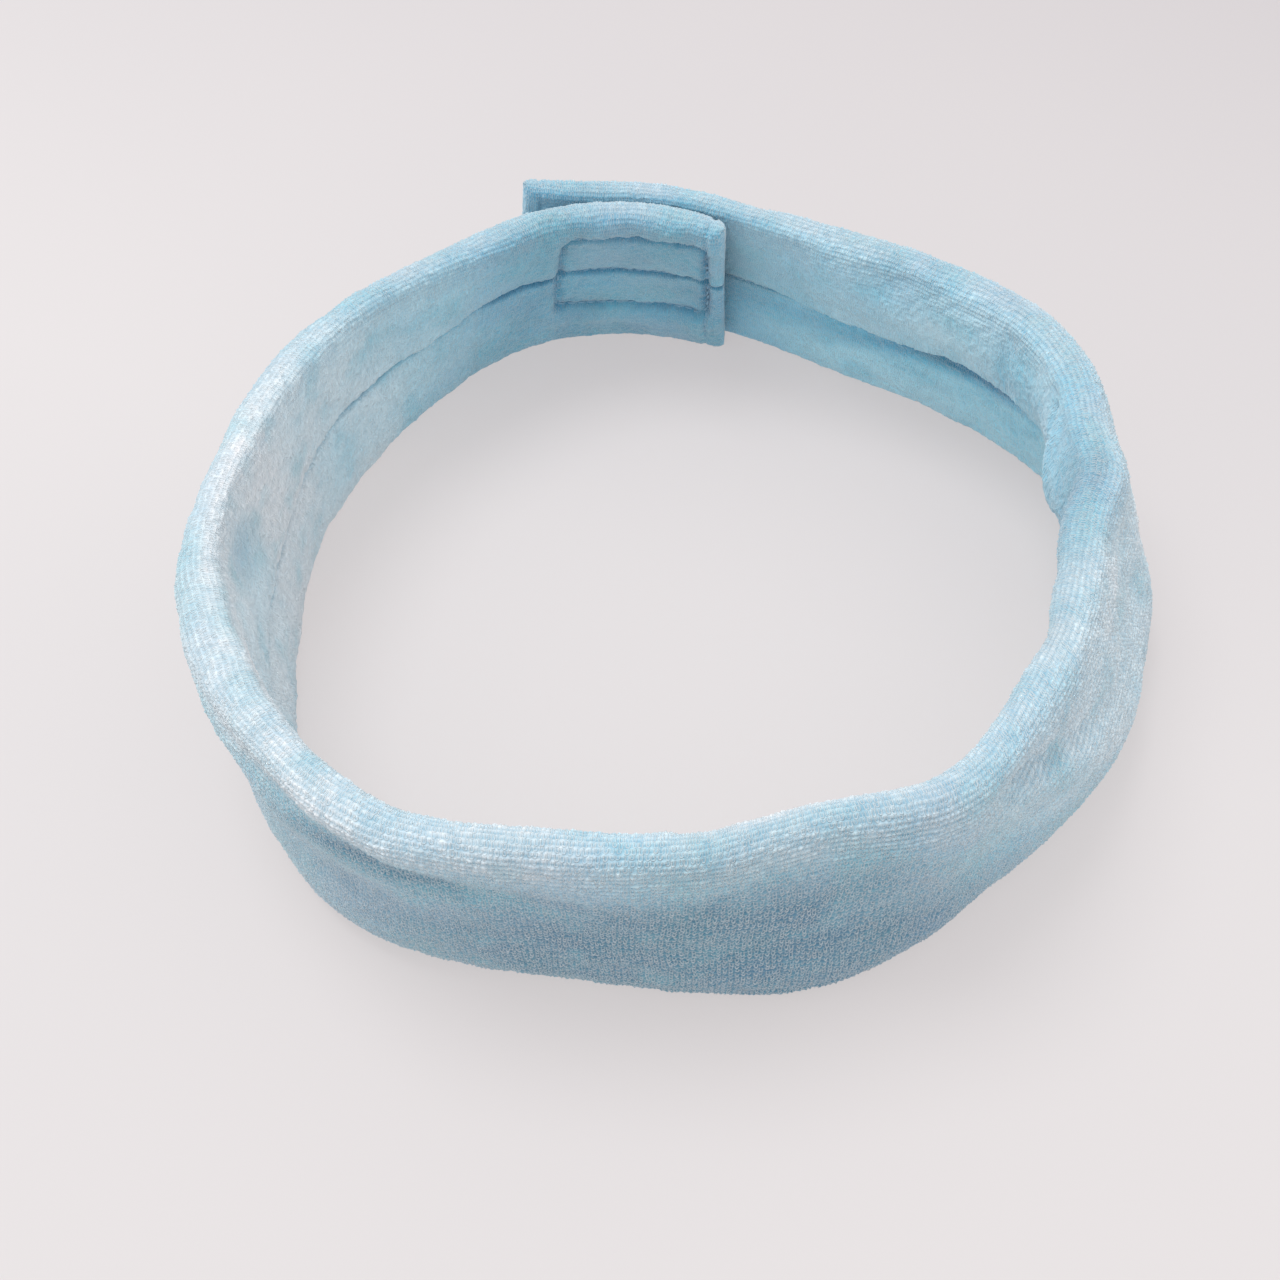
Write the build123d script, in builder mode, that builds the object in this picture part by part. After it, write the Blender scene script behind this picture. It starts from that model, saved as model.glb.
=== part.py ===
from build123d import *
from math import atan2, cos, degrees, radians, sin, sqrt
import os

# Spa headband: one towelling tube, about 600 mm long when it lies open, that stands on its
# lower edge in a ring. Its ends overlap at the back and hold by a loop and a hook tape.
# The tube is one piece of fabric. It is divided here at six upright fold lines, so that
# the ring can be opened and each tab can bend.
# Millimetres, +Z up, floor at z = 0. +Y is the back, where the ends overlap.

# Tube
BAND_WIDTH = 50.0                # flat width
FOOT_SINK = 0.5                  # how far the soft lower edge is pressed flat
RING_CENTRE = (-3.0, -4.3)       # puts the ring's bounding box on the origin
HALF_GAP = 0.2                   # degrees that each piece ends short of a fold line

# Tabs: concentric cones about a centre of their own
TAB_CENTRE = (RING_CENTRE[0] - 13.0, RING_CENTRE[1] + 35.0)
TAB_RADIUS = 55.5                # inner tab, middle of its thickness at the foot
TAB_HALF = 2.3                   # half thickness, where the tapes press the towelling flat
TAB_LEAN = -15.5                 # the top edge leans towards the centre
INNER_TAB_SEAM = 0.56            # the long seam's place, from 0 at the foot to 1 at the top
OUTER_TAB_SEAM = 0.5
TAB_HALF_GAP = 0.3               # degrees, as HALF_GAP
INNER_TAB_ARC = (62.5, 123.5)    # free end, fold line
OUTER_TAB_ARC = (60.0, 116.5)    # fold line, free end

# Loop tape on the inner tab, hook tape on the outer one
TAPE_ARC = (68.0, 106.5)
TAPE_PLACE = 0.56                # its middle, from 0 at the foot to 1 at the top
TAPE_WIDTH = 25.0
TAPE_THICKNESS = 0.9
TAPE_GAP = 0.3
TAPE_CLEAR = 0.02                # between a tape and the towelling it is sewn to

# Thread
THREAD_PROUD = 0.25              # how far thread stands out of the towelling
THREAD_SUNK = 0.25               # how far it lies in it
SEAM_HEIGHT = 1.4                # the long seam
BOX_STITCH_WIDTH = 0.9
BOX_STITCH_BORDER = 1.6          # how far outside the tape's edge it runs
END_STITCH_WIDTH = 0.9
END_STITCH_HEIGHT = 40.0
END_STITCH_INSET = 1.8           # degrees from the free end

# Ring stations by azimuth (90 is +Y, counterclockwise, running on past 360 at the right):
# radius of the middle of the thickness at the foot, lean of the top edge (+ is outwards),
# half thickness, and the long seam's place, as in the tabs. The tube rolls a little on its
# way round, so the seam climbs towards both tabs.
STATIONS = {
    132: (87.6, -12.5, 3.8, 0.53),
    148: (84.8, -8.5, 4.2, 0.5),
    165: (83.3, -4.5, 4.2, 0.45),
    180: (82.5, -1.0, 4.2, 0.37),
    195: (84.0, 2.0, 4.2, 0.35),
    210: (88.5, 4.0, 4.2, 0.34),
    225: (92.0, 4.5, 4.2, 0.34),
    240: (89.5, 5.0, 4.2, 0.34),
    255: (86.5, 3.0, 4.2, 0.35),
    270: (85.0, 2.0, 4.2, 0.36),
    285: (86.0, 0.5, 4.2, 0.37),
    300: (85.0, -1.0, 4.2, 0.38),
    315: (85.5, -5.0, 4.2, 0.4),
    330: (87.0, -9.0, 4.4, 0.42),
    348: (87.5, -11.5, 4.8, 0.45),
    365: (88.5, -12.5, 5.0, 0.48),
    380: (91.0, -13.0, 5.0, 0.5),
    394: (91.5, -14.0, 4.6, 0.5),
    408: (88.5, -15.0, 4.2, 0.5),
    422: (87.2, -15.0, 4.0, 0.5),
}
SEGMENTS = {
    "left_back": (132, 165),
    "left_side": (165, 225),
    "front": (225, 315),
    "right_side": (315, 380),
    "right_back": (380, 422),
}

# Derived: both tapes and their gap lie between the tabs, measured square to their faces
TAB_RISE = sqrt((BAND_WIDTH - 2 * TAB_HALF) ** 2 - TAB_LEAN ** 2)
TAB_STEP = (2 * (TAB_HALF + TAPE_CLEAR + TAPE_THICKNESS) + TAPE_GAP) / cos(atan2(-TAB_LEAN, TAB_RISE))
INNER_TAB = (TAB_RADIUS, TAB_LEAN, TAB_HALF, INNER_TAB_SEAM)
OUTER_TAB = (TAB_RADIUS + TAB_STEP, TAB_LEAN, TAB_HALF, OUTER_TAB_SEAM)
TAPE_OFFSET = TAB_HALF + TAPE_CLEAR + TAPE_THICKNESS / 2
THREAD_THICKNESS = THREAD_PROUD + THREAD_SUNK
THREAD_OFFSET = (THREAD_PROUD - THREAD_SUNK) / 2
TAB_AXIS = Axis((*TAB_CENTRE, 0), (0, 0, 1))


def radial_plane(centre, angle):
    """Upright plane through a centre: local x runs outwards, local y is up."""
    outwards = Vector(cos(radians(angle)), sin(radians(angle)), 0)
    return Plane(origin=(*centre, 0), x_dir=outwards, z_dir=outwards.cross(Vector(0, 0, 1)))


def section_line(shape):
    """Ends of a flattened section's centre line, foot first, and its angle from the floor."""
    radius, lean, half, _ = shape
    rise = sqrt((BAND_WIDTH - 2 * half) ** 2 - lean ** 2)
    foot = Vector(radius, half - FOOT_SINK)
    return foot, foot + Vector(lean, rise), degrees(atan2(rise, lean))


def draw_tube(shape):
    """The flattened tube's section, in the active sketch."""
    foot, top, angle = section_line(shape)
    middle = (foot + top) / 2
    with Locations((middle.X, middle.Y)):
        SlotCenterToCenter((top - foot).length, 2 * shape[2], rotation=angle)


def draw_strip(shape, place, offset, thickness, height):
    """A strip beside a section's centre line: place is 0 at its foot, 1 at its top, offset is outwards."""
    foot, top, angle = section_line(shape)
    outwards = Vector(sin(radians(angle)), -cos(radians(angle)))
    middle = foot + (top - foot) * place + outwards * offset
    with Locations((middle.X, middle.Y)):
        Rectangle(height, thickness, rotation=angle)


def ring_sections(first, last):
    """Planes and shapes of a ring segment from one station to another, a gap short of both."""
    gap = {first: HALF_GAP, last: -HALF_GAP}
    stations = [angle for angle in STATIONS if first <= angle <= last]
    return [(radial_plane(RING_CENTRE, angle + gap.get(angle, 0)), STATIONS[angle]) for angle in stations]


def loft_tube(sections):
    """A piece of the tube through its sections, with a flat foot on the floor."""
    with BuildPart() as piece:
        for plane, shape in sections:
            with BuildSketch(plane):
                draw_tube(shape)
        loft()
        split(bisect_by=Plane.XY, keep=Keep.TOP)
    return piece


def loft_seam(sections):
    """The long seam's thread on the inner face of a piece of the tube."""
    with BuildPart() as piece:
        for plane, shape in sections:
            with BuildSketch(plane):
                draw_strip(shape, shape[3], THREAD_OFFSET - shape[2], THREAD_THICKNESS, SEAM_HEIGHT)
        loft()
    return piece


def turn_tube(shape, arc):
    """A tab, with a flat foot on the floor."""
    with BuildPart() as piece:
        with BuildSketch(radial_plane(TAB_CENTRE, arc[0])):
            draw_tube(shape)
        revolve(axis=TAB_AXIS, revolution_arc=arc[1] - arc[0])
        split(bisect_by=Plane.XY, keep=Keep.TOP)
    return piece


def turn_strip(shape, arc, place, offset, thickness, height):
    """A strip that follows a face of a tab."""
    with BuildPart() as piece:
        with BuildSketch(radial_plane(TAB_CENTRE, arc[0])):
            draw_strip(shape, place, offset, thickness, height)
        revolve(axis=TAB_AXIS, revolution_arc=arc[1] - arc[0])
    return piece


def stitch_box(shape, offset):
    """Frame of thread round a tape's place, on a face of a tab."""
    border = degrees(BOX_STITCH_BORDER / shape[0])
    line = degrees(BOX_STITCH_WIDTH / shape[0])
    first, last = TAPE_ARC[0] - border, TAPE_ARC[1] + border
    height = TAPE_WIDTH + 2 * BOX_STITCH_BORDER
    with BuildPart() as piece:
        with BuildSketch(radial_plane(TAB_CENTRE, first)):
            draw_strip(shape, TAPE_PLACE, offset, THREAD_THICKNESS, height)
        revolve(axis=TAB_AXIS, revolution_arc=last - first)
        with BuildSketch(radial_plane(TAB_CENTRE, first + line)):
            draw_strip(shape, TAPE_PLACE, offset, 2 * THREAD_THICKNESS, height - 2 * BOX_STITCH_WIDTH)
        revolve(axis=TAB_AXIS, revolution_arc=last - first - 2 * line, mode=Mode.SUBTRACT)
    return piece


def end_stitch(shape, inset_from, inwards, offset):
    """Upright line of thread that closes a tab's free end."""
    line = degrees(END_STITCH_WIDTH / shape[0])
    first = inset_from + inwards * END_STITCH_INSET
    return turn_strip(shape, (first, first + line), 0.5, offset, THREAD_THICKNESS, END_STITCH_HEIGHT)


def write(piece, node):
    """Label a finished piece and save it under its node's name."""
    piece.part.label = node
    export_step(piece.part, f"parts/{node}.step")


os.makedirs("parts", exist_ok=True)

# Ring segments with the thread of the long seam. The two at the back run on to a tab's fold line.
segments = {name: ring_sections(first, last) for name, (first, last) in SEGMENTS.items()}
segments["left_back"].insert(0, (radial_plane(TAB_CENTRE, INNER_TAB_ARC[1] + TAB_HALF_GAP), INNER_TAB))
segments["right_back"].append((radial_plane(TAB_CENTRE, OUTER_TAB_ARC[0] - TAB_HALF_GAP), OUTER_TAB))
for name, sections in segments.items():
    write(loft_tube(sections), f"band_{name}")
    write(loft_seam(sections), f"seam_{name}")

# Inner tab: loop tape on its outer face, all its thread on its inner face
inner_arc = (INNER_TAB_ARC[0], INNER_TAB_ARC[1] - TAB_HALF_GAP)
inner_face = THREAD_OFFSET - TAB_HALF
write(turn_tube(INNER_TAB, inner_arc), "band_inner_tab")
inner_seam = turn_strip(INNER_TAB, inner_arc, INNER_TAB_SEAM, inner_face, THREAD_THICKNESS, SEAM_HEIGHT)
write(inner_seam, "seam_inner_tab")
write(turn_strip(INNER_TAB, TAPE_ARC, TAPE_PLACE, TAPE_OFFSET, TAPE_THICKNESS, TAPE_WIDTH), "loop_tape")
write(stitch_box(INNER_TAB, inner_face), "stitch_box_inner")
write(end_stitch(INNER_TAB, INNER_TAB_ARC[0], 1, inner_face), "end_stitch_inner")

# Outer tab: hook tape on its inner face, box and end stitching on its outer face. Its seam is
# on the inner face, as everywhere, and runs on below the tape.
outer_arc = (OUTER_TAB_ARC[0] + TAB_HALF_GAP, OUTER_TAB_ARC[1])
outer_face = TAB_HALF - THREAD_OFFSET
write(turn_tube(OUTER_TAB, outer_arc), "band_outer_tab")
outer_seam = turn_strip(OUTER_TAB, outer_arc, OUTER_TAB_SEAM, inner_face, THREAD_THICKNESS, SEAM_HEIGHT)
write(outer_seam, "seam_outer_tab")
write(turn_strip(OUTER_TAB, TAPE_ARC, TAPE_PLACE, -TAPE_OFFSET, TAPE_THICKNESS, TAPE_WIDTH), "hook_tape")
write(stitch_box(OUTER_TAB, outer_face), "stitch_box_outer")
write(end_stitch(OUTER_TAB, OUTER_TAB_ARC[1], -1, outer_face), "end_stitch_outer")
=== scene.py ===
from math import cos, pi, radians, sin, sqrt

import bpy
import numpy as np
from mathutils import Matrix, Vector


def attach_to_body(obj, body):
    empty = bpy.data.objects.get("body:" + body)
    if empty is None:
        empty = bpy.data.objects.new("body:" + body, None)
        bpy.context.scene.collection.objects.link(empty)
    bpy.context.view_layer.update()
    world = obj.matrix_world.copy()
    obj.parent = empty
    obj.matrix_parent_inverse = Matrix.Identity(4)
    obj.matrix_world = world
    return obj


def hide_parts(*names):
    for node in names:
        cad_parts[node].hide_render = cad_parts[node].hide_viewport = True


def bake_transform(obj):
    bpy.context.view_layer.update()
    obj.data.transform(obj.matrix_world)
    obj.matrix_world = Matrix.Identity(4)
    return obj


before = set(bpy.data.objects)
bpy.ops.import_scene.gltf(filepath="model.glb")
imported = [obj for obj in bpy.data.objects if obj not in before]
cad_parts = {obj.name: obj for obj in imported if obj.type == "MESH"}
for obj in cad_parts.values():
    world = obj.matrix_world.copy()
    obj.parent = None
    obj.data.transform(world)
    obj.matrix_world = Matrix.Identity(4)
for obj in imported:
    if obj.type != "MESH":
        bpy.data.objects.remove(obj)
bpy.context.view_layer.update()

MM = 0.001                       # lengths below are in millimetres, unless they say otherwise
scene = bpy.context.scene

# ---------------------------------------------------------------- camera, light and floor

CAMERA_ELEVATION = 51.0          # degrees above the floor, looking along +Y
CAMERA_TARGET = (-11.0, -13.3, 0.0)
CAMERA_DISTANCE = 300.0
CAMERA_LENS = 40.9
KEY_PLACE = (-0.45, 0.25, 1.35)  # metres
KEY_SIZE, KEY_POWER = 0.8, 11.0  # metres, watts
KEY_COLOUR = (1.0, 0.98, 0.96)
SKY_COLOUR = (0.98, 0.98, 1.0, 1)
FLOOR_HALF = 2.5                 # metres
FLOOR_GLOW = 0.58


def add_camera():
    data = bpy.data.cameras.new("camera")
    data.lens = CAMERA_LENS
    data.sensor_width = 36.0
    data.clip_start, data.clip_end = 0.01, 20.0
    camera = bpy.data.objects.new("camera", data)
    scene.collection.objects.link(camera)
    tilt = radians(CAMERA_ELEVATION)
    back = Vector((0, -cos(tilt), sin(tilt)))
    camera.location = (Vector(CAMERA_TARGET) + back * CAMERA_DISTANCE) * MM
    camera.rotation_euler = (-back).to_track_quat("-Z", "Y").to_euler()
    scene.camera = camera


def add_key_light():
    data = bpy.data.lights.new("key", "AREA")
    data.shape = "DISK"
    data.size = KEY_SIZE
    data.energy = KEY_POWER
    data.color = KEY_COLOUR
    light = bpy.data.objects.new("key", data)
    scene.collection.objects.link(light)
    light.location = KEY_PLACE
    light.rotation_euler = (-Vector(KEY_PLACE)).to_track_quat("-Z", "Y").to_euler()


def add_world():
    world = bpy.data.worlds.new("studio")
    world.use_nodes = True
    background = world.node_tree.nodes["Background"].inputs
    background["Color"].default_value = SKY_COLOUR
    background["Strength"].default_value = 1.0
    scene.world = world


add_camera()
add_world()
scene.view_settings.view_transform = "Standard"
add_key_light()


# ---------------------------------------------------------------- node helpers

class Nodes:
    """Short-hand for building one material's node tree."""

    def __init__(self, name):
        self.material = bpy.data.materials.new(name)
        self.material.use_nodes = True
        self.tree = self.material.node_tree
        self.shader = self.tree.nodes["Principled BSDF"]

    def add(self, kind, inputs=(), **settings):
        node = self.tree.nodes.new(kind)
        for key, value in settings.items():
            setattr(node, key, value)
        for key, value in dict(inputs).items():
            self.feed(node.inputs[key], value)
        return node

    def feed(self, socket, value):
        if isinstance(value, bpy.types.NodeSocket):
            self.tree.links.new(value, socket)
        else:
            socket.default_value = value

    def math(self, operation, *values):
        node = self.add("ShaderNodeMath", operation=operation)
        for socket, value in zip(node.inputs, values):
            self.feed(socket, value)
        return node.outputs[0]

    def noise(self, vector, scale, detail=2.0, rough=0.5):
        inputs = {"Vector": vector, "Scale": scale, "Detail": detail, "Roughness": rough}
        return self.add("ShaderNodeTexNoise", inputs).outputs["Fac"]

    def spread(self, value, low, high, to_low=0.0, to_high=1.0):
        ends = {"From Min": low, "From Max": high, "To Min": to_low, "To Max": to_high}
        return self.add("ShaderNodeMapRange", {"Value": value, **ends}).outputs["Result"]

    def mix(self, factor, first, second, blend="MIX"):
        node = self.add("ShaderNodeMix", data_type="RGBA", blend_type=blend)
        self.feed(node.inputs[0], factor)
        self.feed(node.inputs[6], first)
        self.feed(node.inputs[7], second)
        return node.outputs[2]

    def set(self, **values):
        for key, value in values.items():
            self.feed(self.shader.inputs[key.replace("_", " ")], value)

    def bump(self, height, distance, strength):
        inputs = {"Height": height, "Distance": distance, "Strength": strength}
        return self.add("ShaderNodeBump", inputs).outputs["Normal"]


def rgb(red, green, blue):
    """An sRGB colour given from 0 to 255, as linear RGBA."""
    line = [c / 255 for c in (red, green, blue)]
    line = [c / 12.92 if c <= 0.04045 else ((c + 0.055) / 1.055) ** 2.4 for c in line]
    return (*line, 1.0)


def floor_material():
    """Matt table top that also glows, which softens its shadows; painted shade makes its glow a
    little darker away from the camera.
    """
    n = Nodes("floor")
    place = n.add("ShaderNodeTexCoord").outputs["Object"]
    cloudy = n.spread(n.noise(place, 3.0, 2.0), 0.3, 0.7)
    split = n.add("ShaderNodeSeparateXYZ", {"Vector": place}).outputs
    # Painted shade: the floor's glow fades darker away from the camera
    far = n.spread(n.math("ADD", split["Y"], n.math("MULTIPLY", split["X"], 0.5)), 0.0, 0.36)
    n.set(
        Base_Color=n.mix(cloudy, rgb(127, 127, 129), rgb(132, 131, 132)),
        Roughness=0.85,
        Specular_IOR_Level=0.25,
        Emission_Color=n.mix(far, rgb(238, 231, 230), rgb(212, 203, 204)),
        Emission_Strength=FLOOR_GLOW,
    )
    return n.material


def add_floor():
    corners = [(x * FLOOR_HALF, y * FLOOR_HALF, 0) for x, y in ((-1, -1), (1, -1), (1, 1), (-1, 1))]
    mesh = bpy.data.meshes.new("floor")
    mesh.from_pydata(corners, [], [(0, 1, 2, 3)])
    mesh.materials.append(floor_material())
    floor = bpy.data.objects.new("floor", mesh)
    scene.collection.objects.link(floor)


add_floor()

# ---------------------------------------------------------------- the tube's course

BAND_WIDTH = 50.0                # when it lies flat
FOOT_SINK = 0.5                  # how far the rounded foot is pressed flat by the floor
RING_CENTRE = np.array([-3.0, -4.3])
TAB_CENTRE = np.array([-16.0, 30.7])
STEP = 0.35                      # spacing of the fine grid
COURSE_SAMPLES = 4000            # points for measuring the length of the tube's course

# One row for each section, by its angle about its centre: radius of the foot, lean of the
# top edge (+ is outwards), half thickness, crease (how far the middle stands outwards), the
# crease's place and the seam's place (0 at the foot, 1 at the top), puff of the inner face
# above the seam, droop of that puff over the seam, the outer face's roll under the top edge,
# its hollow below the roll, and the swelling of the top edge as a share of the half
# thickness. Ring angles run counterclockwise from +X, and on past 360 at the right.
INNER_TAB = (55.5, -15.5, 2.3, 0, 0.5, 0.56, 0.2, 0.0, 0.0, 0.0, 0.25)
RING_ROWS = {
    132: (86.6, -10.5, 2.9, 0.3, 0.5, 0.53, 0.8, 0.4, 0.0, 0.0, 0.0),
    148: (83.5, -5.9, 3.0, 0.3, 0.5, 0.50, 0.8, 0.4, 0.0, 0.2, 0.0),
    165: (82.0, -1.8, 3.0, 0.0, 0.5, 0.45, 0.5, 0.3, 0.2, 0.3, 0.0),
    180: (81.1, 2.2, 3.0, 0.0, 0.5, 0.37, 0.2, 0.3, 0.3, 0.4, 0.0),
    195: (82.7, 6.0, 3.1, 0.0, 0.5, 0.35, 0.0, 0.2, 0.4, 0.4, 0.05),
    210: (86.9, 5.2, 3.4, 0.0, 0.5, 0.34, 0.0, 0.2, 0.4, 0.3, 0.2),
    225: (90.9, 3.6, 3.7, 0.0, 0.5, 0.34, 0.0, 0.2, 0.2, 0.2, 0.2),
    240: (89.4, 5.2, 3.3, 0.0, 0.5, 0.34, 0.0, 0.2, 0.0, 0.2, 0.1),
    255: (84.9, 4.7, 3.2, 0.0, 0.5, 0.35, 0.0, 0.2, 0.0, 0.2, 0.0),
    270: (84.7, 2.0, 3.2, 0.0, 0.6, 0.36, 0.0, 0.3, 0.0, 0.0, 0.0),
    285: (87.0, -3.2, 3.2, 0.3, 0.7, 0.37, 0.2, 0.3, 0.0, 0.0, 0.0),
    298: (84.9, 1.5, 3.2, 0.8, 0.78, 0.38, 0.3, 0.3, 0.0, 0.0, 0.0),
    307: (83.8, -0.2, 3.3, 1.8, 0.74, 0.39, 0.3, 0.3, 0.0, 0.0, 0.0),
    315: (84.4, -4.5, 3.3, 4.4, 0.62, 0.40, 0.4, 0.4, 0.0, 0.0, 0.0),
    323: (85.8, -8.8, 3.3, 5.2, 0.52, 0.41, 0.5, 0.5, 0.0, 0.0, 0.0),
    331: (87.8, -12.6, 3.3, 3.8, 0.4, 0.42, 0.8, 0.6, 0.0, 0.0, 0.0),
    340: (88.8, -14.4, 3.4, 2.2, 0.24, 0.44, 1.6, 0.8, 0.0, 0.0, 0.0),
    349: (90.6, -16.0, 3.2, 1.6, 0.22, 0.45, 3.5, 1.2, 0.0, 0.0, 0.0),
    357: (92.6, -14.6, 3.1, 1.0, 0.3, 0.50, 6.6, 1.4, 0.0, 0.0, 0.0),
    365: (93.0, -14.6, 3.1, 0.6, 0.4, 0.59, 7.0, 2.0, 0.0, 0.0, 0.0),
    373: (93.4, -13.4, 3.1, 0.6, 0.5, 0.63, 6.0, 2.4, 0.0, 0.0, 0.0),
    381: (93.8, -12.8, 3.1, 0.8, 0.5, 0.62, 5.4, 2.6, 0.0, 0.0, 0.0),
    394: (91.0, -11.8, 3.1, 1.0, 0.5, 0.59, 4.8, 2.6, 0.0, 0.2, 0.0),
    408: (87.8, -12.6, 3.0, 1.0, 0.5, 0.54, 4.4, 2.3, 0.0, 0.2, 0.0),
    418: (86.4, -13.0, 2.9, 0.8, 0.5, 0.50, 3.2, 1.8, 0.0, 0.2, 0.0),
}
OUTER_TAB = (62.7, -15.5, 2.3, 0.4, 0.5, 0.50, 0.3, 0.3, 0.0, 0.0, 0.1)
# Feet's and tops' angles about the tab centre: the free ends stay square to the fabric
INNER_FEET = [62.5, 72, 82, 92, 102, 111, 118]
INNER_TOPS = [54.5, 65.5, 77, 88.5, 100.5, 111, 118]
OUTER_FEET = [64, 73, 82, 91, 100, 107, 113]
OUTER_TOPS = [64, 73, 82, 91, 100, 107.5, 114]
OUTER_FLARE = [0, 0, 0, 0, 0.5, 2.2, 4.2]      # the outer tab's end stands off at its top


def cubic(x, y, at):
    """Natural cubic spline through the rows of y."""
    x = np.asarray(x, float)
    y = np.asarray(y, float).reshape(len(x), -1)
    gap = np.diff(x)
    slope = np.diff(y, axis=0) / gap[:, None]
    matrix = np.eye(len(x))
    right = np.zeros_like(y)
    for i in range(1, len(x) - 1):
        matrix[i, i - 1 : i + 2] = gap[i - 1], 2 * (gap[i - 1] + gap[i]), gap[i]
        right[i] = 6 * (slope[i] - slope[i - 1])
    curve = np.linalg.solve(matrix, right)
    i = np.clip(np.searchsorted(x, at) - 1, 0, len(x) - 2)
    h = gap[i][:, None]
    a = ((x[i + 1] - at)[:, None]) / h
    b = 1 - a
    bend = ((a**3 - a) * curve[i] + (b**3 - b) * curve[i + 1]) * h**2 / 6
    return a * y[i] + b * y[i + 1] + bend


def unit(v):
    return v / np.maximum(np.linalg.norm(v, axis=-1, keepdims=True), 1e-9)


def course_rows():
    """Centre, foot's and top's angles, and shape of each section, from the inner tab's free
    end to the outer tab's."""
    for foot_angle, top_angle in zip(INNER_FEET, INNER_TOPS):
        yield TAB_CENTRE, foot_angle, top_angle, INNER_TAB
    for angle, shape in RING_ROWS.items():
        yield RING_CENTRE, angle, angle, shape
    for foot_angle, top_angle, flare in zip(OUTER_FEET, OUTER_TOPS, OUTER_FLARE):
        radius, lean, *rest = OUTER_TAB
        yield TAB_CENTRE, foot_angle, top_angle, (radius, lean + flare, *rest)


def make_course():
    """Feet, tops and shapes of the sections along the tube, each a step from the next."""
    feet, tops, shapes = [], [], []
    for centre, foot_angle, top_angle, shape in course_rows():
        radius, lean, half = shape[:3]
        rise = sqrt((BAND_WIDTH - 2 * half) ** 2 - lean**2)
        for points, angle, reach, height in (
            (feet, foot_angle, radius, half - FOOT_SINK),
            (tops, top_angle, radius + lean, half - FOOT_SINK + rise),
        ):
            x, y = centre + reach * np.array([cos(radians(angle)), sin(radians(angle))])
            points.append((x, y, height))
        shapes.append(shape[2:])
    feet, tops, shapes = np.array(feet), np.array(tops), np.array(shapes)
    middle = (feet + tops) / 2
    marks = np.r_[0, np.cumsum(np.linalg.norm(np.diff(middle, axis=0), axis=1))]
    dense = np.linspace(0, marks[-1], COURSE_SAMPLES)
    line = cubic(marks, middle, dense)
    length = np.r_[0, np.cumsum(np.linalg.norm(np.diff(line, axis=0), axis=1))]
    along = np.linspace(0, length[-1], int(round(length[-1] / STEP)) + 1)
    at = np.interp(along, length, dense)
    foot, top, shape = cubic(marks, feet, at), cubic(marks, tops, at), cubic(marks, shapes, at)
    return foot, top, shape, along, np.interp(marks, dense, length)


foot, top, shape, along, marks = make_course()
rows, LENGTH = len(along), along[-1]
RING_ANGLES = list(RING_ROWS)
RING_MARKS = marks[len(INNER_FEET) : len(INNER_FEET) + len(RING_ANGLES)]
axis_up = unit(top - foot)
forward = unit(np.gradient((foot + top) / 2, axis=0))
outward = unit(np.cross(forward, axis_up))
half_thick, crease, crease_at, seam_at, puff, droop, roll, hollow, swell = shape.T


def ring_place(azimuth):
    """Length along the tube at a ring azimuth, which runs on past 360 at the right."""
    return float(np.interp(azimuth, RING_ANGLES, RING_MARKS))


def inner_place(angle):
    """Length along the tube at an angle of the inner tab's foot about the tab centre."""
    return float(np.interp(angle, INNER_FEET, marks[: len(INNER_FEET)]))


def outer_place(angle):
    """As inner_place, on the outer tab."""
    return float(np.interp(angle, OUTER_FEET, marks[-len(OUTER_FEET) :]))


def row_at(place):
    return int(round(place / LENGTH * (rows - 1)))


# ---------------------------------------------------------------- the section

USUAL_HALF = 4.2                 # half thickness at which a distance round the tube is true
PERIMETER = 2 * (BAND_WIDTH - 2 * USUAL_HALF) + 2 * pi * USUAL_HALF
COLUMNS = 4 * int(round(PERIMETER / STEP / 4))
around = np.arange(COLUMNS) / COLUMNS      # up the outer face from the foot, down the inner


def hump(x, centre, width):
    return np.exp(-(((x - centre) / width) ** 2))


def smooth(x, low, high):
    t = np.clip((x - low) / (high - low), 0, 1)
    return t * t * (3 - 2 * t)


def stadium(v, half):
    """Height along the axis and outward offset of points round a flat loop."""
    flat = BAND_WIDTH - 2 * half
    quarter = pi * half / 2
    q = v * (2 * flat + 4 * quarter)
    starts = [quarter, quarter + flat, 3 * quarter + flat, 3 * quarter + 2 * flat]
    parts = [q < start for start in starts]
    turn, turn_top, turn_low = q / half, (q - starts[1]) / half, (q - starts[3]) / half
    up = np.select(
        parts,
        [-half * np.cos(turn), q - quarter, flat + half * np.sin(turn_top), flat - (q - starts[2])],
        -half * np.sin(turn_low),
    )
    out = np.select(
        parts,
        [half * np.sin(turn), half + 0 * q, half * np.cos(turn_top), -half + 0 * q],
        -half * np.cos(turn_low),
    )
    return up, out, flat


def place_round(t, half, face):
    """Where round the tube a face (1 outer, -1 inner) is at level t: the inverse of stadium."""
    flat = BAND_WIDTH - 2 * half
    quarter = pi * half / 2
    q = quarter + flat * t if face > 0 else 3 * quarter + flat * (2 - t)
    return q / (2 * flat + 4 * quarter)


SLACK = 0.3                      # how much thinner the tube is before it is filled
CREASE_EASE = 0.11               # how softly the crease turns
FOOT_ROLL = 0.6                  # the outer face swells a little above the foot


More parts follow.
